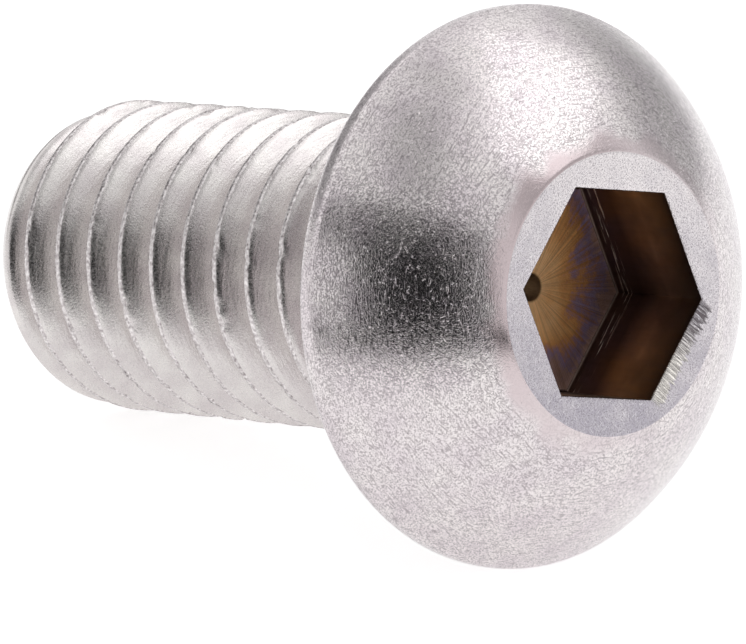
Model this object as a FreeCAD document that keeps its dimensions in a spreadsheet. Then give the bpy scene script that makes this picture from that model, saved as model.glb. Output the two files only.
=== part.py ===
# Button head socket cap screw, M8 x 1.25 x 16 mm, right-hand thread.
# One cold-headed piece of stainless steel: a low domed head with a hexagon socket and a
# thread that runs up to a short neck. The screw is drawn upright about its own axis, head
# up, with z = 0 on the face under the head, and is then laid down as it comes to rest: on
# the rim of the head and on the last crest of the thread.

import FreeCAD
import Part
import Sketcher
import os

doc = FreeCAD.newDocument("button_head_screw")

# The sizes, in millimetres and degrees.
sizes = [
    ("thread_diameter", 8.0, "over the crests"),
    ("thread_pitch", 1.25, "one turn of the coarse M8 thread"),
    ("shank_length", 16.0, "from the face under the head to the tip"),
    ("head_diameter", 14.0, "across the rim"),
    ("head_height", 3.85, "from the face under the head to the land round the socket"),
    ("land_diameter", 7.0, "of the flat land round the socket"),
    ("rim_height", 0.6, "from the face under the head to the foot of the dome"),
    ("rim_bevel", 0.35, "of the rim's lower edge, at 45 degrees"),
    ("socket_width", 5.1, "across the flats, with its fit on a 5 mm key"),
    ("socket_depth", 3.1, "from the land to the socket's floor"),
    ("socket_turn", 15.2, "of one corner from the side that the screw lies on"),
    ("dimple_diameter", 0.7, "of the punch's centre mark in the floor"),
    ("dimple_depth", 0.22, "of the centre mark"),
    ("neck_diameter", 7.1, "of the plain neck, the blank's own diameter"),
    ("neck_length", 1.4, "of the plain neck under the head"),
    ("neck_cone", 0.4, "between neck and head, at 45 degrees"),
    ("tip_diameter", 6.8, "of the flat end of the point"),
    ("point_length", 1.05, "of the tapered point"),
    ("first_crest", 0.91, "from the tip to the crest on the side it lies on"),
    ("seam_turn", 2.571, "of the turned faces' seam away from the side it lies on"),
]

# What follows from them. Each line gives a name, its formula and what it is.
derived = [
    ("thread_radius", "=thread_diameter / 2", "crest"),
    ("root_radius", "=thread_radius - 0.61343 * thread_pitch", "foot of the thread"),
    ("crest_flat", "=thread_pitch / 8", "width of the flat on the crest"),
    ("root_flat", "=thread_pitch * 7 / 8 - 1.22687 * thread_pitch * tan(30 deg)", "at the foot"),
    ("tool_radius", "=thread_radius + 0.25 * thread_pitch", "groove section, outside the crest"),
    ("tool_flat", "=thread_pitch * 7 / 8 + 0.5 * thread_pitch * tan(30 deg)", "its width there"),
    ("head_radius", "=head_diameter / 2", "rim"),
    ("land_radius", "=land_diameter / 2", "land"),
    ("neck_radius", "=neck_diameter / 2", "neck"),
    ("tip_radius", "=tip_diameter / 2", "flat end"),
    ("tip_level", "=-shank_length", "height of the flat end"),
    ("point_level", "=-shank_length + point_length", "height of the point's wide end"),
    ("shoulder_level", "=-neck_length - thread_radius + neck_radius", "height of the crest's end"),
    ("neck_level", "=-neck_length", "height of the neck's lower end"),
    ("cone_level", "=-neck_cone", "height of the lower end of the cone under the head"),
    ("cone_radius", "=neck_radius + neck_cone", "where that cone meets the head"),
    ("rim_foot_radius", "=head_radius - rim_bevel", "outer edge of the face under the head"),
    (
        "dome_centre",
        "=(land_radius ^ 2 + head_height ^ 2 - head_radius ^ 2 - rim_height ^ 2)"
        " / (2 * (head_height - rim_height))",
        "height of the middle of the ball that the dome is part of",
    ),
    (
        "dome_radius",
        "=sqrt(head_radius ^ 2 + (rim_height - dome_centre) ^ 2)",
        "radius of that ball",
    ),
    ("socket_corner", "=socket_width / sqrt(3)", "radius over the socket's corners"),
    ("socket_floor", "=head_height - socket_depth", "height of the socket's floor"),
    ("dimple_radius", "=dimple_diameter / 2", "centre mark"),
    ("dimple_floor", "=socket_floor - dimple_depth", "height of its point"),
    ("groove_start", "=-shank_length + first_crest - 1.5 * thread_pitch", "groove, below the tip"),
    ("groove_turns", "=floor((-neck_length - groove_start) / thread_pitch)", "whole turns"),
    ("groove_height", "=groove_turns * thread_pitch", "rise of the groove"),
    ("root_half", "=root_flat / 2", "half the groove's foot"),
    ("tool_half", "=tool_flat / 2", "half the groove's mouth"),
    ("point_slope", "=(thread_radius - tip_radius) / point_length", "of the tapered point"),
    (
        "contact_back",
        "=(first_crest + crest_flat / 2 + (thread_radius - tip_radius) * tan(30 deg))"
        " / (1 + point_slope * tan(30 deg))",
        "from the tip to where flank and point meet on the side it lies on",
    ),
    ("contact_level", "=contact_back - shank_length", "height of that edge"),
    (
        "contact_radius",
        "=min(thread_radius; tip_radius + point_slope * contact_back)",
        "radius of that edge",
    ),
    (
        "rest_tilt",
        "=atan((head_radius - contact_radius) / (rim_bevel - contact_level))",
        "slope of the axis when the screw lies on rim and crest",
    ),
    ("rest_angle", "=90 deg - rest_tilt", "turn from upright to lying"),
    (
        "rest_lift",
        "=head_radius * cos(rest_tilt) - rim_bevel * sin(rest_tilt)",
        "height of the axis at the face under the head",
    ),
    (
        "rest_shift",
        "=((shank_length - head_height) * cos(rest_tilt)"
        " + (tip_radius - land_radius) * sin(rest_tilt)) / 2",
        "puts the middle of the lying screw over the origin",
    ),
]


def fill_sheet():
    table = doc.addObject("Spreadsheet::Sheet", "Sizes")
    row = 1
    for name, value, meaning in sizes:
        table.set("A%d" % row, meaning)
        table.set("B%d" % row, str(value))
        table.setAlias("B%d" % row, name)
        row += 1
    doc.recompute()
    for name, formula, meaning in derived:
        table.set("A%d" % row, meaning)
        table.set("B%d" % row, formula)
        table.setAlias("B%d" % row, name)
        doc.recompute()
        row += 1
    return table


sheet = fill_sheet()


def number(name):
    # The value of a cell, also with a minus sign before its name.
    if name.startswith("-"):
        return -number(name[1:])
    value = sheet.get(name)
    return float(getattr(value, "Value", value))


def formula_of(name):
    if name.startswith("-"):
        return "-Sizes." + name[1:]
    return "Sizes." + name


def origin_plane(body, role):
    for feature in body.Origin.OriginFeatures:
        if feature.Role == role:
            return feature


def new_sketch(body, role, name):
    sketch = body.newObject("Sketcher::SketchObject", name)
    sketch.AttachmentSupport = (origin_plane(body, role), [""])
    sketch.MapMode = "FlatFace"
    return sketch


def arc_between(start, end, radius, side):
    # The shorter arc from start to end. Side 1 bulges to the right of the way, -1 to the left.
    chord = end - start
    middle = (start + end) / 2
    across = FreeCAD.Vector(chord.y, -chord.x, 0).normalize() * side
    rise = radius - (radius * radius - chord.Length * chord.Length / 4) ** 0.5
    return Part.Arc(start, middle + across * rise, end)


def draw_outline(sketch, corners, arcs):
    # A closed outline through the corners, each given by the cells of its two coordinates,
    # with None on an axis. arcs holds, by the number of its first corner, each curved edge.
    spots = []
    for across, up in corners:
        x = 0 if across is None else number(across)
        y = 0 if up is None else number(up)
        spots.append(FreeCAD.Vector(x, y, 0))
    ends = []
    for i, start in enumerate(spots):
        end = spots[(i + 1) % len(spots)]
        if i in arcs:
            radius, side = arcs[i]
            edge = sketch.addGeometry(arc_between(start, end, number(radius), side), False)
            forward = sketch.Geometry[edge].StartPoint.distanceToPoint(start) < 1e-6
            ends.append((edge, 1, 2) if forward else (edge, 2, 1))
            sketch.addConstraint(Sketcher.Constraint("Radius", edge, number(radius)))
            sketch.setExpression("Constraints[%d]" % (sketch.ConstraintCount - 1), formula_of(radius))
        else:
            edge = sketch.addGeometry(Part.LineSegment(start, end), False)
            ends.append((edge, 1, 2))
    for i, (edge, first, last) in enumerate(ends):
        follower, near, far = ends[(i + 1) % len(ends)]
        sketch.addConstraint(Sketcher.Constraint("Coincident", edge, last, follower, near))
        place_point(sketch, edge, first, corners[i])


def place_point(sketch, edge, end, corner):
    across, up = corner
    if across is None:
        sketch.addConstraint(Sketcher.Constraint("PointOnObject", edge, end, -2))
    else:
        bind(sketch, Sketcher.Constraint("DistanceX", -1, 1, edge, end, number(across)), across)
    if up is None:
        sketch.addConstraint(Sketcher.Constraint("PointOnObject", edge, end, -1))
    else:
        bind(sketch, Sketcher.Constraint("DistanceY", -1, 1, edge, end, number(up)), up)


def bind(sketch, constraint, name):
    index = sketch.addConstraint(constraint)
    sketch.setExpression("Constraints[%d]" % index, formula_of(name))


def add_blank(body):
    # The headed blank, turned about the screw's axis: point, crest cylinder, neck, face
    # under the head, rim, dome and land.
    sketch = new_sketch(body, "XZ_Plane", "blank_outline")
    sketch.AttachmentOffset = FreeCAD.Placement(
        FreeCAD.Vector(), FreeCAD.Rotation(FreeCAD.Vector(0, 1, 0), number("seam_turn"))
    )
    sketch.setExpression("AttachmentOffset.Rotation.Angle", "Sizes.seam_turn")
    corners = [
        (None, "tip_level"),
        ("tip_radius", "tip_level"),
        ("thread_radius", "point_level"),
        ("thread_radius", "shoulder_level"),
        ("neck_radius", "neck_level"),
        ("neck_radius", "cone_level"),
        ("cone_radius", None),
        ("rim_foot_radius", None),
        ("head_radius", "rim_bevel"),
        ("head_radius", "rim_height"),
        ("land_radius", "head_height"),
        (None, "head_height"),
    ]
    draw_outline(sketch, corners, {9: ("dome_radius", 1)})
    doc.recompute()
    blank = body.newObject("PartDesign::Revolution", "blank")
    blank.Profile = sketch
    blank.ReferenceAxis = (sketch, ["V_Axis"])
    blank.Angle = 360
    doc.recompute()
    return blank


def add_socket(body):
    # The hexagon socket, punched down from the land, with the punch's centre mark.
    sketch = new_sketch(body, "XY_Plane", "socket_outline")
    sketch.setExpression("AttachmentOffset.Base.z", "Sizes.head_height")
    sketch.AttachmentOffset = FreeCAD.Placement(
        FreeCAD.Vector(0, 0, number("head_height")),
        FreeCAD.Rotation(FreeCAD.Vector(0, 0, 1), number("socket_turn")),
    )
    sketch.setExpression("AttachmentOffset.Rotation.Angle", "Sizes.socket_turn")
    reach = number("socket_corner")
    turn = FreeCAD.Rotation(FreeCAD.Vector(0, 0, 1), 60)
    corner = FreeCAD.Vector(reach, 0, 0)
    circle = sketch.addGeometry(Part.Circle(FreeCAD.Vector(), FreeCAD.Vector(0, 0, 1), reach), True)
    sketch.addConstraint(Sketcher.Constraint("Coincident", circle, 3, -1, 1))
    bind(sketch, Sketcher.Constraint("Radius", circle, reach), "socket_corner")
    sides = []
    for i in range(6):
        following = turn.multVec(corner)
        sides.append(sketch.addGeometry(Part.LineSegment(corner, following), False))
        corner = following
    for i, side in enumerate(sides):
        following = sides[(i + 1) % 6]
        sketch.addConstraint(Sketcher.Constraint("Coincident", side, 2, following, 1))
        sketch.addConstraint(Sketcher.Constraint("PointOnObject", side, 1, circle))
        if i > 0:
            sketch.addConstraint(Sketcher.Constraint("Equal", sides[0], side))
    sketch.addConstraint(Sketcher.Constraint("PointOnObject", sides[0], 1, -1))
    doc.recompute()
    socket = body.newObject("PartDesign::Pocket", "socket")
    socket.Profile = sketch
    socket.setExpression("Length", "Sizes.socket_depth")
    doc.recompute()
    mark_sketch = new_sketch(body, "XZ_Plane", "centre_mark_outline")
    corners = [
        (None, "dimple_floor"),
        ("dimple_radius", "socket_floor"),
        (None, "socket_floor"),
    ]
    draw_outline(mark_sketch, corners, {})
    doc.recompute()
    mark = body.newObject("PartDesign::Groove", "centre_mark")
    mark.Profile = mark_sketch
    mark.ReferenceAxis = (mark_sketch, ["V_Axis"])
    mark.Angle = 360
    doc.recompute()
    return socket, mark


def add_thread(body):
    # The space between two flanks of the thread at 60 degrees, with a flat foot and a mouth
    # wider than the crest cylinder, cut along a right-hand helix. It enters below the tip
    # and ends in the neck.
    sketch = new_sketch(body, "XZ_Plane", "groove_section")
    sketch.AttachmentOffset = FreeCAD.Placement(
        FreeCAD.Vector(0, number("groove_start"), 0), FreeCAD.Rotation()
    )
    sketch.setExpression("AttachmentOffset.Base.y", "Sizes.groove_start")
    corners = [
        ("root_radius", "-root_half"),
        ("tool_radius", "-tool_half"),
        ("tool_radius", "tool_half"),
        ("root_radius", "root_half"),
    ]
    draw_outline(sketch, corners, {})
    doc.recompute()
    thread = body.newObject("PartDesign::SubtractiveHelix", "thread")
    thread.Profile = sketch
    thread.ReferenceAxis = (sketch, ["V_Axis"])
    thread.Mode = "pitch-height-angle"
    thread.LeftHanded = False
    thread.Reversed = False
    thread.setExpression("Pitch", "Sizes.thread_pitch")
    thread.setExpression("Height", "Sizes.groove_height")
    doc.recompute()
    return thread


def lay_down(body):
    # Turns the screw about Y until rim and crest touch the ground, with the head towards +X.
    body.Placement = FreeCAD.Placement(
        FreeCAD.Vector(number("rest_shift"), 0, number("rest_lift")),
        FreeCAD.Rotation(FreeCAD.Vector(0, 1, 0), number("rest_angle")),
    )
    body.setExpression("Placement.Base.x", "Sizes.rest_shift")
    body.setExpression("Placement.Base.z", "Sizes.rest_lift")
    body.setExpression("Placement.Rotation.Angle", "Sizes.rest_angle")
    doc.recompute()


def check_features():
    # Every object is up to date, and each cut has taken something from the blank.
    for thing in doc.Objects:
        if "Invalid" in thing.State or "Error" in thing.State:
            raise ValueError("%s: %s" % (thing.Name, thing.State))
    volumes = [feature.Shape.Volume for feature in (blank, socket, mark, thread)]
    for before, after in zip(volumes, volumes[1:]):
        if not after < before - 0.001:
            raise ValueError("a cut takes nothing: %.3f, %.3f" % (before, after))
    shape = screw.Shape
    if shape.isNull() or not shape.isValid() or len(shape.Solids) != 1:
        raise ValueError("the screw is not one valid solid")
    print("volumes in mm3:", [round(volume, 2) for volume in volumes])


screw = doc.addObject("PartDesign::Body", "button_head_screw")
screw.Label = "button_head_screw"
blank = add_blank(screw)
socket, mark = add_socket(screw)
thread = add_thread(screw)
lay_down(screw)
check_features()

os.makedirs("parts", exist_ok=True)
screw.Shape.exportStep("parts/button_head_screw.step")
print("tilt of the axis:", round(number("rest_tilt"), 3), "degrees")
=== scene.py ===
import math
import bmesh
import bpy
from mathutils import Matrix, Vector, noise


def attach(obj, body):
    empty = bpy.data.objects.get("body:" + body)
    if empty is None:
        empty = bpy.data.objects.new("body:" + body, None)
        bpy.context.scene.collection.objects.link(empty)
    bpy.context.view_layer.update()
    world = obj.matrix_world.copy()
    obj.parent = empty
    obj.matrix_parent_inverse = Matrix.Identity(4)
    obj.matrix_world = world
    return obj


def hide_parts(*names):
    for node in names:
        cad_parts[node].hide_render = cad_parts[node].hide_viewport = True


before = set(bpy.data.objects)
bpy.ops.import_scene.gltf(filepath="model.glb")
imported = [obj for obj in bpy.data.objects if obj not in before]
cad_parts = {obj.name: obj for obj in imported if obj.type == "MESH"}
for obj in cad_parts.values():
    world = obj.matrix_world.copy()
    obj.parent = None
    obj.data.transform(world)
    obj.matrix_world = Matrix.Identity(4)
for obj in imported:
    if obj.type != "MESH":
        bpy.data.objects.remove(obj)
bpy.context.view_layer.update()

# The screw is modelled upright in millimetres, z = 0 under the head and z = -16 at the tip,
# and its mesh is laid down at the end as the CAD model lies.
layDown = {
    "tilt": math.radians(11.156495),    # slope of the axis when it lies on rim and crest
    "shift": 5.950522,                  # mm, along X
    "lift": 6.799995,                   # mm, height of the axis under the head
}
turnSteps = 192
# the materials in the order they are added below
slots = {"tumbled": 0, "coined": 1, "punched": 2, "tinted": 3, "rolled": 4, "crest": 5, "cut": 6}


def restMatrix():
    turn = Matrix.Rotation(math.pi / 2 - layDown["tilt"], 4, "Y")
    place = Matrix.Translation((layDown["shift"], 0, layDown["lift"]))
    return Matrix.Scale(0.001, 4) @ place @ turn


def radiusOf(v):
    return math.hypot(v.co.x, v.co.y)


def setRadius(v, radius):
    scale = radius / max(radiusOf(v), 1e-9)
    v.co.x *= scale
    v.co.y *= scale


def smoothStep(low, high, x):
    t = min(max((x - low) / (high - low), 0), 1)
    return t * t * (3 - 2 * t)


def softMin(a, b, width):
    # the smaller of two values, with a rounded changeover
    t = max(width - abs(a - b), 0) / width
    return min(a, b) - t * t * width / 4


def arcWire(mesh, start, centre, angle, steps):
    # one vertex spun about the Y direction makes an arc that starts at it
    geom = bmesh.ops.spin(mesh, geom=[start], cent=(centre[0], 0, centre[1]), axis=(0, 1, 0),
                          angle=angle, steps=steps)
    return [v for v in geom["geom_last"] if isinstance(v, bmesh.types.BMVert)][0]


def straightWire(mesh, start, point, parts=1, bulge=0):
    # a bulge bends the line outwards by that much in its middle
    first, last = start.co.copy(), Vector((point[0], 0, point[1]))
    for n in range(1, parts + 1):
        share = n / parts
        place = first.lerp(last, share)
        place.x += 4 * bulge * share * (1 - share)
        end = mesh.verts.new(place)
        mesh.edges.new((start, end))
        start = end
    return start


def nextRing(mesh, ring, place):
    # the open edge ring is pulled on, and place() puts each new vertex where it belongs
    geom = bmesh.ops.extrude_edge_only(mesh, edges=ring)["geom"]
    for v in geom:
        if isinstance(v, bmesh.types.BMVert):
            place(v)
    return [e for e in geom if isinstance(e, bmesh.types.BMEdge)]


def openRing(mesh, level):
    return [e for e in mesh.edges if e.is_boundary and all(abs(v.co.z - level) < 1e-3 for v in e.verts)]


# Head: dome, rim, bearing face and neck, spun in one go.
head = {
    "radius": 7.0,
    "height": 3.85,
    "landRadius": 3.5,
    "rimHeight": 0.6,
    "rimRound": 0.35,
    "neckRadius": 3.55,
    "neckRound": 0.4,
    "neckEnd": -1.2,
    "socketTurn": math.radians(15.2),
}


def buildHead(mesh):
    s = head
    rise = s["landRadius"] ** 2 + s["height"] ** 2 - s["radius"] ** 2 - s["rimHeight"] ** 2
    centre = rise / (2 * (s["height"] - s["rimHeight"]))
    first = math.atan2(s["height"] - centre, s["landRadius"])
    last = math.atan2(s["rimHeight"] - centre, s["radius"])
    tip = mesh.verts.new((s["landRadius"], 0, s["height"]))
    tip = arcWire(mesh, tip, (0, centre), first - last, 44)
    tip = straightWire(mesh, tip, (s["radius"], s["rimRound"]))
    tip = arcWire(mesh, tip, (s["radius"] - s["rimRound"], s["rimRound"]), math.pi / 2, 8)
    tip = straightWire(mesh, tip, (s["neckRadius"] + s["neckRound"], 0), 5)
    tip = arcWire(mesh, tip, (s["neckRadius"] + s["neckRound"], -s["neckRound"]), -math.pi / 2, 8)
    straightWire(mesh, tip, (s["neckRadius"], s["neckEnd"]), 3)
    bmesh.ops.rotate(mesh, verts=mesh.verts, cent=(0, 0, 0),
                     matrix=Matrix.Rotation(s["socketTurn"], 3, "Z"))
    bmesh.ops.spin(mesh, geom=list(mesh.verts) + list(mesh.edges), cent=(0, 0, 0), axis=(0, 0, 1),
                   angle=math.tau, steps=turnSteps, use_merge=True)
    foot = [e for e in mesh.edges
            if all(abs(radiusOf(v) - s["radius"]) < 1e-3 and abs(v.co.z - s["rimHeight"]) < 1e-3
                   for v in e.verts)]
    bmesh.ops.bevel(mesh, geom=foot, offset=0.09, offset_type="OFFSET", segments=4, profile=0.5,
                    affect="EDGES", material=-1)


# Land and socket: rings pulled inwards and down from the land's outer edge.
socket = {
    "apothem": 2.55,            # half the key width, with its play
    "floor": 0.75,
    "lip": 0.045,               # rounding where the wall meets the land
    "foot": 0.07,               # rounding where the wall meets the floor
    "markRadius": 0.35,         # the punch's centre mark
    "markDepth": 0.22,
}


def hexRadius(v):
    turn = math.atan2(v.co.y, v.co.x) - head["socketTurn"]
    return socket["apothem"] / math.cos((turn % (math.pi / 3)) - math.pi / 6)


def buildSocket(mesh):
    s = socket
    top, low = head["height"], s["floor"]
    verts = bmesh.ops.create_circle(mesh, radius=head["landRadius"], segments=turnSteps)["verts"]
    bmesh.ops.rotate(mesh, verts=verts, cent=(0, 0, 0),
                     matrix=Matrix.Rotation(head["socketTurn"], 3, "Z"))
    bmesh.ops.translate(mesh, verts=verts, vec=(0, 0, top))
    ring = list(mesh.edges)

    def onLand(share):
        def place(v):
            edge = hexRadius(v) + s["lip"]
            setRadius(v, head["landRadius"] + (edge - head["landRadius"]) * share)
        return place

    def onWall(inset, level):
        def place(v):
            setRadius(v, hexRadius(v) - inset)
            v.co.z = level
        return place

    def onFloor(share, level):
        # the rings turn from the hexagon into the round mark
        def place(v):
            setRadius(v, s["markRadius"] + (hexRadius(v) - s["foot"] - s["markRadius"]) * share)
            v.co.z = level
        return place

    for share in (0.06, 0.2, 0.35, 0.5, 0.65, 0.8, 0.9, 1):
        ring = nextRing(mesh, ring, onLand(share))
    for step in (30, 60, 90):
        a = math.radians(step)
        ring = nextRing(mesh, ring, onWall(s["lip"] * (math.sin(a) - 1), top - s["lip"] * (1 - math.cos(a))))
    wall = len(mesh.faces)
    for level in (3.6, 3.3, 2.9, 2.5, 2.1, 1.7, 1.3, 1.0, low + s["foot"]):
        ring = nextRing(mesh, ring, onWall(0, level))
    for step in (30, 60, 90):
        a = math.radians(step)
        inset, level = s["foot"] * (1 - math.cos(a)), low + s["foot"] * (1 - math.sin(a))
        ring = nextRing(mesh, ring, onWall(inset, level))
    floor = len(mesh.faces)
    for share in (0.9, 0.75, 0.6, 0.45, 0.3, 0.15, 0.05, 0):
        ring = nextRing(mesh, ring, onFloor(share, low))
    for share in (0.85, 0.6, 0.35, 0.12):
        def inMark(v, share=share):
            setRadius(v, s["markRadius"] * share)
            v.co.z = low - s["markDepth"] * (1 - share ** 2)
        ring = nextRing(mesh, ring, inMark)
    bmesh.ops.pointmerge(mesh, verts=list({v for e in ring for v in e.verts}),
                         merge_co=(0, 0, low - s["markDepth"]))
    mesh.faces.ensure_lookup_table()
    for n, face in enumerate(mesh.faces):
        face.material_index = slots["coined" if n < wall else "punched" if n < floor else "tinted"]


# Thread: one pitch of the profile, spun upwards as it turns.
thread = {
    "pitch": 1.25,
    "radius": 4.0,
    "crestFlat": 0.156,
    "crestRound": 0.03,
    "rootRound": 0.18,
    "flankBulge": 0.02,         # the dies leave the flanks a little full
    "firstCrest": -15.09,       # level of a crest at angle 0
    "tip": -16.0,
    "tipRadius": 3.4,
    "pointEnd": -14.95,
    "fadeLow": -2.7,            # the rolled groove runs out between these levels
    "fadeHigh": -1.45,
    "cut": -1.3,
    "turns": 15,                # stacked, more than are needed
    "crestBand": 0.06,          # depth of the crest's own material
    "wear": 0.012,              # raggedness of the crests
    "nick": 0.05,               # depth of the nicks in them
    "tipRound": 0.3,            # rounding between point and thread
    # rings of the tip's face: share of the ring before, and height of the dish
    "dish": ((0.985, 0), (0.93, 0.015), (0.8, 0.035), (0.75, 0.05), (0.7, 0.06), (0.5, 0.065), (0.2, 0.07)),
}


def buildThread(mesh):
    s = thread
    half = math.radians(30)
    pitch, crest = s["pitch"], s["crestFlat"] / 2
    # the root arc touches both flanks, and its level follows from the crest's corner
    rootArc = math.radians(60)
    touchZ = pitch / 2 - s["rootRound"] * math.sin(rootArc)
    touchR = s["radius"] - (touchZ - crest) / math.tan(half)
    rootCentre = touchR + s["rootRound"] * math.cos(rootArc)
    # the corner between crest and flank is cut by a small slant
    slantR, slantZ = s["radius"] - s["crestRound"] * 0.75, s["crestRound"] * 0.35
    start = s["firstCrest"] - 2 * pitch
    tip = mesh.verts.new((s["radius"], 0, start))
    tip = straightWire(mesh, tip, (s["radius"], start + crest - s["crestRound"]))
    tip = straightWire(mesh, tip, (slantR, start + crest + slantZ))
    tip = straightWire(mesh, tip, (touchR, start + touchZ), 5, s["flankBulge"])
    tip = arcWire(mesh, tip, (rootCentre, start + pitch / 2), 2 * rootArc, 8)
    tip = straightWire(mesh, tip, (slantR, start + pitch - crest - slantZ), 5, s["flankBulge"])
    tip = straightWire(mesh, tip, (s["radius"], start + pitch - crest + s["crestRound"]))
    straightWire(mesh, tip, (s["radius"], start + pitch))
    bmesh.ops.spin(mesh, geom=list(mesh.verts) + list(mesh.edges), cent=(0, 0, 0), axis=(0, 0, 1),
                   dvec=(0, 0, pitch / turnSteps), angle=math.tau, steps=turnSteps)
    # the turn is stacked, each copy a pitch above the one before
    turn = list(mesh.verts) + list(mesh.edges) + list(mesh.faces)
    for n in range(1, s["turns"]):
        copy = bmesh.ops.duplicate(mesh, geom=turn)["geom"]
        bmesh.ops.translate(mesh, verts=[v for v in copy if isinstance(v, bmesh.types.BMVert)],
                            vec=(0, 0, pitch * n))
    bmesh.ops.remove_doubles(mesh, verts=mesh.verts, dist=0.004)
    slope = (s["radius"] - s["tipRadius"]) / (s["pointEnd"] - s["tip"])
    for v in mesh.verts:
        radius, z = radiusOf(v), v.co.z
        grain = noise.noise(v.co * 3.1)
        if radius > s["radius"] - 0.05:
            # crests are a little ragged, with a nick here and there
            radius -= s["wear"] * abs(noise.noise(v.co * 7.3)) + s["nick"] * smoothStep(0.42, 0.6, grain)
        radius = softMin(radius, s["tipRadius"] + slope * (z - s["tip"]), s["tipRound"])
        keep = 1 - smoothStep(s["fadeLow"], s["fadeHigh"], z)
        setRadius(v, head["neckRadius"] + (radius - head["neckRadius"]) * keep)
    bmesh.ops.bisect_plane(mesh, geom=list(mesh.verts) + list(mesh.edges) + list(mesh.faces),
                           plane_co=(0, 0, s["tip"]), plane_no=(0, 0, -1), clear_outer=True)
    bmesh.ops.bisect_plane(mesh, geom=list(mesh.verts) + list(mesh.edges) + list(mesh.faces),
                           plane_co=(0, 0, s["cut"]), plane_no=(0, 0, 1), clear_outer=True)
    # the cut leaves some vertices of the tip's edge almost on top of each other
    edge = [v for v in mesh.verts if abs(v.co.z - s["tip"]) < 1e-4]
    bmesh.ops.remove_doubles(mesh, verts=edge, dist=0.05)
    for face in mesh.faces:
        middle = face.calc_center_median()
        onCrest = math.hypot(middle.x, middle.y) > s["radius"] - s["crestBand"] and middle.z < s["fadeLow"]
        face.material_index = slots["crest"] if onCrest else slots["rolled"]
    ring = openRing(mesh, s["tip"])

    def onTip(share, dish):
        def place(v):
            setRadius(v, radiusOf(v) * share)
            v.co.z = s["tip"] + dish
        return place

    for share, dish in s["dish"]:
        ring = nextRing(mesh, ring, onTip(share, dish))
    bmesh.ops.pointmerge(mesh, verts=list({v for e in ring for v in e.verts}),
                         merge_co=(0, 0, s["tip"] + dish))
    mesh.normal_update()
    for face in mesh.faces:
        if abs(face.normal.z) > 0.9 and face.calc_center_median().z < s["tip"] + 0.1:
            face.material_index = slots["cut"]


def addPart(whole, build):
    part = bmesh.new()
    build(part)
    data = bpy.data.meshes.new("part")
    part.to_mesh(data)
    whole.from_mesh(data)
    part.free()
    bpy.data.meshes.remove(data)
    print(build.__name__, len(whole.verts), len(whole.faces))


whole = bmesh.new()
addPart(whole, buildHead)
addPart(whole, buildSocket)
bmesh.ops.remove_doubles(whole, verts=whole.verts, dist=0.002)
addPart(whole, buildThread)
gap = openRing(whole, head["neckEnd"]) + openRing(whole, thread["cut"])
bridge = bmesh.ops.bridge_loops(whole, edges=gap)
for face in bridge["faces"]:
    face.material_index = slots["tumbled"]
bmesh.ops.recalc_face_normals(whole, faces=whole.faces)
for edge in whole.edges:
    edge.smooth = edge.calc_face_angle(0) < math.radians(38)
for face in whole.faces:
    face.smooth = True
print("open edges", sum(e.is_boundary for e in whole.edges))
print("odd edges", sum(not e.is_manifold for e in whole.edges))
print("triangles", sum(len(f.verts) - 2 for f in whole.faces))
bmesh.ops.transform(whole, matrix=restMatrix(), verts=whole.verts)

screwMesh = bpy.data.meshes.new("screw")
whole.to_mesh(screwMesh)
whole.free()
screw = bpy.data.objects.new("screw", screwMesh)
bpy.context.scene.collection.objects.link(screw)
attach(screw, "root")
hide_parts("button_head_screw")


# Materials
def colour(text):
    # hex sRGB to linear
    parts = [int(text[i:i + 2], 16) / 255 for i in (1, 3, 5)]
    return [p / 12.92 if p <= 0.04045 else ((p + 0.055) / 1.055) ** 2.4 for p in parts] + [1]


def addNode(tree, kind, inputs=None, stops=None, out=0, **settings):
    # sets or links the inputs and gives back one output, or all of them where out is None
    node = tree.nodes.new("ShaderNode" + kind)
    for name, value in settings.items():
        setattr(node, name, value)
    for name, value in (inputs or {}).items():
        if isinstance(value, bpy.types.NodeSocket):
            tree.links.new(value, node.inputs[name])
        else:
            node.inputs[name].default_value = value
    for n, (place, tone) in enumerate(stops or []):
        ramp = node.color_ramp.elements
        stop = ramp[n] if n < len(ramp) else ramp.new(place)
        stop.position, stop.color = place, tone
    return node.outputs if out is None else node.outputs[out]


def newMaterial(name):
    material = bpy.data.materials.new(name)
    material.use_nodes = True
    tree = material.node_tree
    shader = tree.nodes["Principled BSDF"]
    shader.inputs["Metallic"].default_value = 1
    screwMesh.materials.append(material)
    # own coordinates of the upright screw, in millimetres
    own = addNode(tree, "Mapping", {
        "Vector": addNode(tree, "TexCoord", out="Object"),
        "Location": (layDown["shift"] / 1000, 0, layDown["lift"] / 1000),
        "Rotation": (0, math.pi / 2 - layDown["tilt"], 0),
        "Scale": (0.001, 0.001, 0.001)}, vector_type="TEXTURE")
    return tree, shader, own


def stretched(tree, own, turn, scale):
    # the own coordinates turned about the screw's axis, then scaled to the size of the marks
    turned = addNode(tree, "VectorRotate", {"Vector": own, "Angle": math.radians(turn)},
                     rotation_type="Z_AXIS")
    return addNode(tree, "VectorMath", {0: turned, 1: scale}, operation="MULTIPLY")


def marks(tree, own, turns, scale, low, high):
    # short scratches in several directions: thin slivers of stretched noise
    found = None
    for turn in turns:
        field = addNode(tree, "TexNoise", {
            "Vector": stretched(tree, own, turn, scale), "Scale": 1.0, "Detail": 1.0})
        sliver = addNode(tree, "MapRange", {"Value": field, "From Min": low, "From Max": high})
        found = sliver if found is None else addNode(tree, "Math", {0: found, 1: sliver}, operation="MAXIMUM")
    return found


def wireUp(tree, shader, tone, rough, normal):
    for name, value in (("Base Color", tone), ("Roughness", rough), ("Normal", normal)):
        tree.links.new(value, shader.inputs[name])


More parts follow.
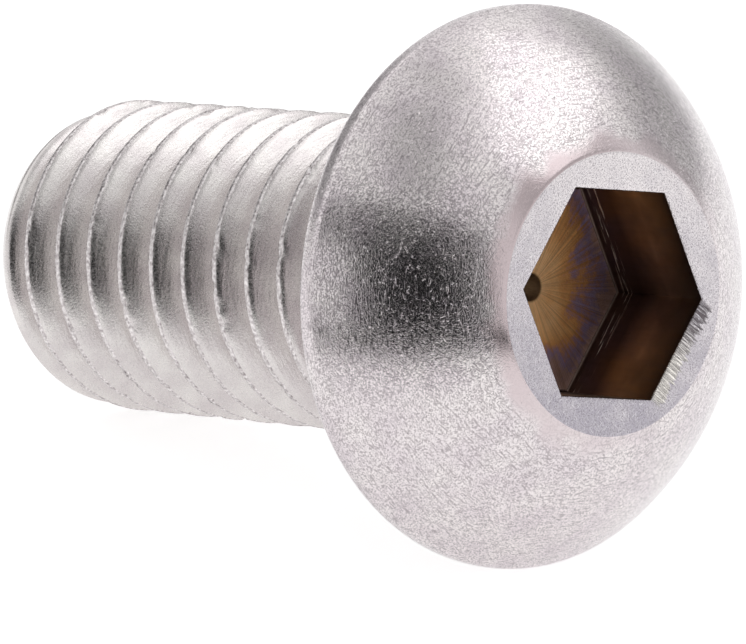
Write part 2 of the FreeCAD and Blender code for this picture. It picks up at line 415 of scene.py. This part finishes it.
def tumbledSteel():
    # Tumbled stainless steel: the barrel's stones leave a dense felt of short scratches
    # in every direction, which breaks up each highlight into a sparkling grain.
    tree, shader, own = newMaterial("tumbledSteel")
    cloud = addNode(tree, "TexNoise", {"Vector": own, "Scale": 1.1, "Detail": 3.0})
    grain = addNode(tree, "TexNoise", {"Vector": own, "Scale": 20.0, "Detail": 3.0, "Roughness": 0.65})
    felt = marks(tree, own, (8, 52, 97, 141), (3.4, 26.0, 26.0), 0.54, 0.7)
    coarse = marks(tree, own, (25, 70, 118, 163), (1.3, 15.0, 15.0), 0.7, 0.76)
    dots = addNode(tree, "TexNoise", {"Vector": own, "Scale": 15.0, "Detail": 1.0})
    pits = addNode(tree, "MapRange", {"Value": dots, "From Min": 0.76, "From Max": 0.83})
    # the punch has pressed the dome smooth in an uneven band round the land
    flat = addNode(tree, "VectorMath", {0: own, 1: (1, 1, 0)}, operation="MULTIPLY")
    reach = addNode(tree, "VectorMath", {0: flat}, out="Value", operation="LENGTH")
    uneven = addNode(tree, "MapRange", {
        "Value": cloud, "From Min": 0.35, "From Max": 0.65, "To Min": -0.16, "To Max": 0.16})
    away = addNode(tree, "Math", {0: reach, 1: uneven}, operation="ADD")
    ringed = addNode(tree, "MapRange", {"Value": away, "From Min": 4.1, "From Max": 3.75})
    high = addNode(tree, "MapRange", {
        "Value": addNode(tree, "SeparateXYZ", {0: own}, out="Z"), "From Min": 1.0, "From Max": 2.0})
    # on one side of the land more than on the other
    sided = addNode(tree, "VectorMath", {0: own, 1: (-0.09, -0.13, 0.14)},
                    out="Value", operation="DOT_PRODUCT")
    band = addNode(tree, "Math", {0: ringed, 1: addNode(tree, "Math", {
        0: high, 1: sided}, operation="MULTIPLY")}, operation="MULTIPLY", use_clamp=True)
    keep = addNode(tree, "MapRange", {"Value": band, "To Min": 0.8, "To Max": 0.15})
    normal = addNode(tree, "Bump", {"Height": felt, "Distance": 0.000003, "Strength": keep})
    normal = addNode(tree, "Bump", {
        "Height": coarse, "Distance": 0.000006, "Strength": keep, "Normal": normal})
    normal = addNode(tree, "Bump", {"Height": pits, "Distance": 0.000012, "Normal": normal}, invert=True)
    share = addNode(tree, "MapRange", {"Value": cloud, "From Min": 0.35, "From Max": 0.65})
    tone = addNode(tree, "Mix", {0: share, 6: colour("#DAD2D5"), 7: colour("#E3DDDD")},
                   out=2, data_type="RGBA")
    depth = addNode(tree, "MapRange", {"Value": band, "To Min": 0.6, "To Max": 0.15})
    stroke = addNode(tree, "Math", {0: felt, 1: depth}, operation="MULTIPLY")
    tone = addNode(tree, "Mix", {0: stroke, 6: tone, 7: colour("#6E6469")}, out=2, data_type="RGBA")
    tone = addNode(tree, "Mix", {0: band, 6: tone, 7: colour("#C6B8BA")}, out=2, data_type="RGBA")
    dark = addNode(tree, "MapRange", {"Value": pits, "To Max": 0.7})
    tone = addNode(tree, "Mix", {0: dark, 6: tone, 7: colour("#6E6266")}, out=2, data_type="RGBA")
    rough = addNode(tree, "MapRange", {
        "Value": grain, "From Min": 0.35, "From Max": 0.65, "To Min": 0.1, "To Max": 0.24})
    wireUp(tree, shader, tone, rough, normal)


def coinedSteel():
    # Coined land: pressed flat by the punch and finely sanded, so it is bright with a dull grain.
    # Along one side of the hexagon the punch has torn a burr into short strokes.
    tree, shader, own = newMaterial("coinedSteel")
    grain = addNode(tree, "TexNoise", {"Vector": own, "Scale": 26.0, "Detail": 3.0, "Roughness": 0.65})
    cloud = addNode(tree, "TexNoise", {"Vector": own, "Scale": 1.3, "Detail": 3.0})
    sanded = marks(tree, own, (20, 64, 150), (3.0, 26.0, 26.0), 0.56, 0.72)
    turned = addNode(tree, "VectorRotate", {
        "Vector": own, "Angle": -head["socketTurn"] - math.radians(30)}, rotation_type="Z_AXIS")
    sides = addNode(tree, "SeparateXYZ", {0: turned}, out=None)
    teeth = addNode(tree, "TexNoise", {
        "Vector": addNode(tree, "VectorMath", {0: turned, 1: (1.6, 24.0, 0.0)}, operation="MULTIPLY"),
        "Scale": 1.0, "Detail": 2.0})
    jagged = addNode(tree, "TexNoise", {
        "Vector": addNode(tree, "VectorMath", {0: turned, 1: (0.0, 9.0, 0.0)}, operation="MULTIPLY"),
        "Scale": 1.0, "Detail": 2.0})
    border = addNode(tree, "MapRange", {
        "Value": jagged, "From Min": 0.3, "From Max": 0.7, "To Min": 2.78, "To Max": 3.06})
    away = addNode(tree, "Math", {0: sides["X"], 1: border}, operation="SUBTRACT")
    inside = addNode(tree, "MapRange", {"Value": away, "From Min": 0.03, "From Max": -0.05})
    near = addNode(tree, "Math", {0: sides["X"], 1: 2.0}, operation="GREATER_THAN")
    inside = addNode(tree, "Math", {0: inside, 1: near}, operation="MULTIPLY")
    along = addNode(tree, "Math", {0: sides["Y"]}, operation="ABSOLUTE")
    length = addNode(tree, "MapRange", {"Value": along, "From Min": 1.5, "From Max": 1.36})
    burr = addNode(tree, "Math", {0: inside, 1: length}, operation="MULTIPLY")
    sharp = addNode(tree, "MapRange", {"Value": teeth, "From Min": 0.4, "From Max": 0.6})
    stroke = addNode(tree, "Math", {0: burr, 1: sharp}, operation="MULTIPLY")
    normal = addNode(tree, "Bump", {"Height": grain, "Distance": 0.000004, "Strength": 0.8})
    normal = addNode(tree, "Bump", {
        "Height": sanded, "Distance": 0.000005, "Strength": 0.8, "Normal": normal})
    normal = addNode(tree, "Bump", {"Height": stroke, "Distance": 0.00005, "Normal": normal}, invert=True)
    # the land's tone is darker towards its lower side
    towardsLower = addNode(tree, "VectorMath", {0: own, 1: (0.14, -0.05, 0)}, out="Value", operation="DOT_PRODUCT")
    uneven = addNode(tree, "MapRange", {
        "Value": cloud, "From Min": 0.3, "From Max": 0.7, "To Min": 0.3, "To Max": 0.7})
    share = addNode(tree, "Math", {0: towardsLower, 1: uneven}, operation="ADD", use_clamp=True)
    tone = addNode(tree, "Mix", {0: share, 6: colour("#E2DCDD"), 7: colour("#ADA8B1")},
                   out=2, data_type="RGBA")
    scuff = addNode(tree, "MapRange", {"Value": sanded, "To Max": 0.3})
    tone = addNode(tree, "Mix", {0: scuff, 6: tone, 7: colour("#F4F1F2")}, out=2, data_type="RGBA")
    speck = addNode(tree, "MapRange", {"Value": grain, "From Min": 0.5, "From Max": 0.62, "To Max": 0.7})
    tone = addNode(tree, "Mix", {0: speck, 6: tone, 7: colour("#7C747C")}, out=2, data_type="RGBA")
    # torn burr: a painted highlight, brightest at one end, and painted shade in its teeth towards the other
    burrGlint = addNode(tree, "Math", {0: burr, 1: addNode(tree, "MapRange", {
        "Value": sides["Y"], "From Min": 0.9, "From Max": -0.3, "To Max": 0.8})}, operation="MULTIPLY")
    tone = addNode(tree, "Mix", {0: burrGlint, 6: tone, 7: colour("#FBF6EE")}, out=2, data_type="RGBA")
    end = addNode(tree, "MapRange", {
        "Value": sides["Y"], "From Min": -0.9, "From Max": 0.9, "To Min": 0.35, "To Max": 0.9})
    teethShade = addNode(tree, "Math", {0: stroke, 1: end}, operation="MULTIPLY")
    tone = addNode(tree, "Mix", {0: teethShade, 6: tone, 7: colour("#574E52")}, out=2, data_type="RGBA")
    rough = addNode(tree, "MapRange", {
        "Value": grain, "From Min": 0.3, "From Max": 0.7, "To Min": 0.2, "To Max": 0.36})
    wireUp(tree, shader, tone, rough, normal)


def punchedWall():
    # Socket wall: burnished by the punch and stained brown-black by baked-on forging oil, with pale torn
    # streaks near its foot.
    # A painted bronze sheen lies over the stain, brightest a little above halfway up.
    tree, shader, own = newMaterial("punchedWall")
    level = addNode(tree, "SeparateXYZ", {0: own}, out="Z")
    drag = addNode(tree, "TexNoise", {
        "Vector": stretched(tree, own, 0, (9.0, 9.0, 0.8)), "Scale": 1.0, "Detail": 3.0})
    cloud = addNode(tree, "TexNoise", {"Vector": own, "Scale": 0.9, "Detail": 3.0})
    torn = addNode(tree, "TexNoise", {
        "Vector": stretched(tree, own, 0, (1.1, 1.1, 20.0)), "Scale": 1.0, "Detail": 2.0})
    # painted sheen: the tone rises to bronze a little above halfway up and falls back to the dark stain at
    # the foot and the lip
    paintedSheen = addNode(tree, "ValToRGB", {"Fac": addNode(tree, "MapRange", {
        "Value": level, "From Min": socket["floor"], "From Max": head["height"]})}, stops=(
            (0.0, colour("#584A44")), (0.3, colour("#57483F")), (0.62, colour("#BCA48E")),
            (0.85, colour("#82705F")), (0.97, colour("#4C403B"))))
    share = addNode(tree, "MapRange", {"Value": cloud, "From Min": 0.3, "From Max": 0.65, "To Max": 0.6})
    tone = addNode(tree, "Mix", {0: share, 6: paintedSheen, 7: colour("#5E4E47")}, out=2, data_type="RGBA")
    low = addNode(tree, "MapRange", {"Value": level, "From Min": 1.35, "From Max": 1.2})
    sliver = addNode(tree, "MapRange", {"Value": torn, "From Min": 0.58, "From Max": 0.66})
    streak = addNode(tree, "Math", {0: low, 1: sliver}, operation="MULTIPLY")
    clear = addNode(tree, "MapRange", {"Value": level, "From Min": 0.9, "From Max": 1.0})
    streak = addNode(tree, "Math", {0: streak, 1: clear}, operation="MULTIPLY")
    tone = addNode(tree, "Mix", {0: streak, 6: tone, 7: colour("#C9BCAF")}, out=2, data_type="RGBA")
    normal = addNode(tree, "Bump", {"Height": drag, "Distance": 0.000006, "Strength": 0.6})
    normal = addNode(tree, "Bump", {"Height": streak, "Distance": 0.00002, "Normal": normal})
    rough = addNode(tree, "MapRange", {
        "Value": drag, "From Min": 0.3, "From Max": 0.7, "To Min": 0.32, "To Max": 0.5})
    wireUp(tree, shader, tone, rough, normal)


def tintedFloor():
    # Socket floor: golden oil and heat tint that turns violet and blue away from the mark,
    # scored outwards by the punch's tip.
    tree, shader, own = newMaterial("tintedFloor")
    flat = addNode(tree, "VectorMath", {0: own, 1: (1, 1, 0)}, operation="MULTIPLY")
    reach = addNode(tree, "VectorMath", {0: flat}, out="Value", operation="LENGTH")
    unit = addNode(tree, "VectorMath", {0: flat}, operation="NORMALIZE")
    cloud = addNode(tree, "TexNoise", {"Vector": own, "Scale": 1.1, "Detail": 4.0, "Roughness": 0.65})
    rays = addNode(tree, "TexNoise", {
        "Vector": addNode(tree, "VectorMath", {0: unit, 1: (26, 26, 0)}, operation="MULTIPLY"),
        "Scale": 1.0, "Detail": 3.0, "Roughness": 0.7})
    grain = addNode(tree, "TexNoise", {"Vector": own, "Scale": 14.0, "Detail": 4.0, "Roughness": 0.7})
    wander = addNode(tree, "MapRange", {
        "Value": cloud, "From Min": 0.3, "From Max": 0.7, "To Min": -0.8, "To Max": 0.8})
    drawn = addNode(tree, "MapRange", {
        "Value": rays, "From Min": 0.3, "From Max": 0.7, "To Min": -0.35, "To Max": 0.35})
    # the tint is stronger on one side
    aside = addNode(tree, "VectorMath", {0: own, 1: (0.2, 0.3, 0)}, out="Value", operation="DOT_PRODUCT")
    far = addNode(tree, "Math", {0: addNode(tree, "Math", {0: reach, 1: aside}), 1: addNode(
        tree, "Math", {0: wander, 1: drawn})}, operation="ADD")
    share = addNode(tree, "MapRange", {"Value": far, "From Max": 3.2})
    tone = addNode(tree, "ValToRGB", {"Fac": share}, stops=(
        (0.1, colour("#F0C593")), (0.5, colour("#E8B37A")), (0.68, colour("#DDA268")),
        (0.8, colour("#B08A8E")), (0.9, colour("#9586A8")), (1.0, colour("#AE8F88"))))
    score = addNode(tree, "MapRange", {
        "Value": rays, "From Min": 0.38, "From Max": 0.62, "To Min": 0.5, "To Max": 0.0})
    tone = addNode(tree, "Mix", {0: score, 6: tone, 7: colour("#7A5639")}, out=2, data_type="RGBA")
    # painted shade: the punch's centre mark is darkened
    mark = addNode(tree, "MapRange", {"Value": reach, "From Min": 0.4, "From Max": 0.33, "To Max": 0.85})
    tone = addNode(tree, "Mix", {0: mark, 6: tone, 7: colour("#4A3A2C")}, out=2, data_type="RGBA")
    height = addNode(tree, "Math", {0: rays, 1: grain}, operation="ADD")
    normal = addNode(tree, "Bump", {"Height": height, "Distance": 0.000016, "Strength": 0.8})
    rough = addNode(tree, "MapRange", {
        "Value": grain, "From Min": 0.3, "From Max": 0.7, "To Min": 0.42, "To Max": 0.62})
    wireUp(tree, shader, tone, rough, normal)


def rolledSteel():
    # Rolled thread: dies press it smooth along the groove and leave fine lines that follow it.
    tree, shader, own = newMaterial("rolledSteel")
    grain = addNode(tree, "TexNoise", {"Vector": own, "Scale": 18.0, "Detail": 4.0, "Roughness": 0.7})
    cloud = addNode(tree, "TexNoise", {"Vector": own, "Scale": 1.3, "Detail": 3.0})
    lines = addNode(tree, "TexNoise", {
        "Vector": stretched(tree, own, 0, (1.6, 1.6, 22.0)), "Scale": 1.0, "Detail": 3.0})
    height = addNode(tree, "Math", {0: lines, 1: grain}, operation="ADD")
    normal = addNode(tree, "Bump", {"Height": height, "Distance": 0.000008, "Strength": 0.8})
    share = addNode(tree, "MapRange", {"Value": cloud, "From Min": 0.35, "From Max": 0.65})
    tone = addNode(tree, "Mix", {0: share, 6: colour("#CEC8C8"), 7: colour("#DBD7D5")},
                   out=2, data_type="RGBA")
    rough = addNode(tree, "MapRange", {
        "Value": grain, "From Min": 0.3, "From Max": 0.7, "To Min": 0.17, "To Max": 0.33})
    wireUp(tree, shader, tone, rough, normal)


def crestSteel():
    # Crest: where the metal flows together last, rubbed bright and a little torn; its tone is partly painted
    # light, a painted highlight in the bright patches and painted shadow of the torn folds in the dark ones.
    tree, shader, own = newMaterial("crestSteel")
    tear = addNode(tree, "TexNoise", {"Vector": own, "Scale": 12.0, "Detail": 4.0, "Roughness": 0.65})
    normal = addNode(tree, "Bump", {"Height": tear, "Distance": 0.00001, "Strength": 0.8})
    # painted highlight and painted shadow of the folds, mixed by the tear noise
    share = addNode(tree, "MapRange", {"Value": tear, "From Min": 0.35, "From Max": 0.65})
    tone = addNode(tree, "Mix", {0: share, 6: colour("#978F90"), 7: colour("#EFEAEA")},
                   out=2, data_type="RGBA")
    rough = addNode(tree, "MapRange", {
        "Value": tear, "From Min": 0.3, "From Max": 0.7, "To Min": 0.22, "To Max": 0.42})
    wireUp(tree, shader, tone, rough, normal)


def cutSteel():
    # Tip: the blank's cropped end, matt and finely torn, flattened by the rolling.
    tree, shader, own = newMaterial("cutSteel")
    grain = addNode(tree, "TexNoise", {"Vector": own, "Scale": 9.0, "Detail": 4.0, "Roughness": 0.6})
    tear = addNode(tree, "TexNoise", {
        "Vector": stretched(tree, own, 35, (1.2, 14.0, 14.0)), "Scale": 1.0, "Detail": 3.0})
    height = addNode(tree, "Math", {0: tear, 1: grain}, operation="ADD")
    normal = addNode(tree, "Bump", {"Height": height, "Distance": 0.00002, "Strength": 0.8})
    share = addNode(tree, "MapRange", {"Value": tear, "From Min": 0.35, "From Max": 0.65})
    tone = addNode(tree, "Mix", {0: share, 6: colour("#A9A09B"), 7: colour("#C6BFBA")},
                   out=2, data_type="RGBA")
    rough = addNode(tree, "MapRange", {
        "Value": grain, "From Min": 0.3, "From Max": 0.7, "To Min": 0.36, "To Max": 0.55})
    wireUp(tree, shader, tone, rough, normal)


for make in (tumbledSteel, coinedSteel, punchedWall, tintedFloor, rolledSteel, crestSteel, cutSteel):
    make()
print("materials", [m.name for m in screwMesh.materials])


# Camera
def addCamera():
    data = bpy.data.cameras.new("camera")
    data.lens, data.sensor_width, data.sensor_fit = 501.7, 36, "HORIZONTAL"
    data.clip_start, data.clip_end = 0.01, 20
    camera = bpy.data.objects.new("camera", data)
    right = Vector((0.66273, 0.74886, 0))
    down = Vector((0.24562, -0.21737, -0.94468))
    forward = Vector((-0.70743, 0.62607, -0.32800))
    turn = Matrix((right, -down, -forward)).transposed().to_4x4()
    camera.matrix_world = Matrix.Translation((0.18607, -0.16394, 0.09040)) @ turn
    bpy.context.scene.collection.objects.link(camera)
    bpy.context.scene.camera = camera


addCamera()
print("camera", [round(c, 4) for c in bpy.context.scene.camera.location])

# Stage: floor, softbox, and soft-edged cards that only the metal sees.
studio = {
    "target": Vector((0.004, -0.003, 0.006)),
    "worldLevel": 0.55,         # plain light on matt surfaces
    "floorGlow": 0.68,          # lifts the floor to white for the eye and for reflections
    "softbox": {"turn": 150, "rise": 54, "distance": 0.4, "size": (0.4, 0.22), "power": 0.26},
    # turn from -Y towards +X and height, both from-to in degrees, then level and edge softness
    "cards": [
        ("dark", 21, 75, -12, 40, 0.008, 0.12),
        ("bar", -8, 66, 28, 45, 0.07, 0.2),
        ("grey", 22, 70, 46, 86, 0.36, 0.3),
        ("top", 0, 360, 76, 90, 0.62, 0.3),
        ("side", 85, 160, 20, 52, 0.6, 0.5),
        ("back", 160, 214, -6, 32, 0.5, 0.4),
        ("left", -125, -8, 46, 72, 1.15, 0.3),
        ("leftGrey", -118, -42, 6, 40, 0.32, 0.4),
    ],
    "mat": {"turn": 44, "near": 0.03, "far": 0.7, "wide": 0.52, "level": 0.025},
}


def direction(turn, rise):
    a, b = math.radians(turn), math.radians(rise)
    return Vector((math.sin(a) * math.cos(b), -math.cos(a) * math.cos(b), math.sin(b)))


def facing(towards, distance):
    # a place at this distance, looking back at the screw
    z = towards.normalized()
    x = Vector((0, 0, 1)).cross(z).normalized()
    turn = Matrix((x, z.cross(x), z)).transposed().to_4x4()
    return Matrix.Translation(studio["target"] + z * distance) @ turn


def stageObject(name, build):
    mesh = bmesh.new()
    build(mesh)
    data = bpy.data.meshes.new(name)
    mesh.to_mesh(data)
    mesh.free()
    made = bpy.data.objects.new(name, data)
    bpy.context.scene.collection.objects.link(made)
    material = bpy.data.materials.new(name)
    material.use_nodes = True
    data.materials.append(material)
    tree = material.node_tree
    tree.nodes.remove(tree.nodes["Principled BSDF"])
    return made, tree, tree.nodes["Material Output"].inputs["Surface"]


def seenRays(tree):
    # one for camera, mirror and glass rays
    path = addNode(tree, "LightPath", out=None)
    both = addNode(tree, "Math", {0: path["Is Camera Ray"], 1: path["Is Glossy Ray"]}, operation="ADD")
    return addNode(tree, "Math", {0: both, 1: path["Is Transmission Ray"]}, operation="ADD", use_clamp=True)


def addFloor():
    _, tree, surface = stageObject("floor", lambda mesh: bmesh.ops.create_circle(
        mesh, cap_ends=True, radius=3, segments=96))
    matt = addNode(tree, "BsdfDiffuse", {"Color": (0.8, 0.8, 0.8, 1)})
    level = addNode(tree, "Math", {0: seenRays(tree), 1: studio["floorGlow"]}, operation="MULTIPLY")
    glow = addNode(tree, "Emission", {"Strength": level})
    tree.links.new(addNode(tree, "AddShader", {0: matt, 1: glow}), surface)


def addCard(name, place, level, soft):
    card, tree, surface = stageObject(name, lambda mesh: bmesh.ops.create_grid(
        mesh, x_segments=1, y_segments=1, size=1))
    card.matrix_world = place
    card.visible_camera = card.visible_diffuse = card.visible_shadow = False
    own = addNode(tree, "TexCoord", out="Object")
    size = addNode(tree, "VectorMath", {0: own}, operation="ABSOLUTE")
    sides = addNode(tree, "SeparateXYZ", {0: size}, out=None)
    parts = [addNode(tree, "MapRange", {"Value": side, "From Min": 1.0, "From Max": 1 - soft},
                     interpolation_type="SMOOTHSTEP") for side in (sides["X"], sides["Y"])]
    mask = addNode(tree, "Math", {0: parts[0], 1: parts[1]}, operation="MULTIPLY")
    glow = addNode(tree, "Emission", {"Strength": level})
    clear = addNode(tree, "BsdfTransparent")
    tree.links.new(addNode(tree, "MixShader", {0: mask, 1: clear, 2: glow}), surface)


def standingCard(name, left, right, low, high, level, soft):
    distance, middle = 0.6, (low + high) / 2
    wide = math.tan(math.radians(min(right - left, 120)) / 2) * distance * math.cos(math.radians(middle))
    tall = math.tan(math.radians(high - low) / 2) * distance
    place = facing(direction((left + right) / 2, middle), distance)
    addCard(name, place @ Matrix.Diagonal((wide, tall, 1, 1)), level, soft)


def lyingCard(name, turn, near, far, wide, level):
    middle = direction(turn, 0) * (near + far) / 2 + Vector((0, 0, 0.0002))
    place = Matrix.Translation(middle) @ Matrix.Rotation(math.radians(turn), 4, "Z")
    addCard(name, place @ Matrix.Diagonal((wide / 2, (far - near) / 2, 1, 1)), level, 0.12)


def addSoftbox():
    s = studio["softbox"]
    data = bpy.data.lights.new("softbox", "AREA")
    data.shape = "RECTANGLE"
    data.size, data.size_y = s["size"]
    data.energy = s["power"]
    lamp = bpy.data.objects.new("softbox", data)
    lamp.matrix_world = facing(direction(s["turn"], s["rise"]), s["distance"])
    bpy.context.scene.collection.objects.link(lamp)


def addWorld():
    world = bpy.data.worlds.new("studio")
    bpy.context.scene.world = world
    world.use_nodes = True
    tree = world.node_tree
    level = addNode(tree, "Mix", {0: seenRays(tree), 2: studio["worldLevel"], 3: 1.0})
    tree.links.new(level, tree.nodes["Background"].inputs["Strength"])
    tree.nodes["Background"].inputs["Color"].default_value = (1, 1, 1, 1)


addFloor()
addSoftbox()
for card in studio["cards"]:
    standingCard(*card)
lyingCard("mat", *studio["mat"].values())
addWorld()
print("stage", len(studio["cards"]) + 1, "cards")

bpy.context.scene.view_settings.view_transform = "Standard"
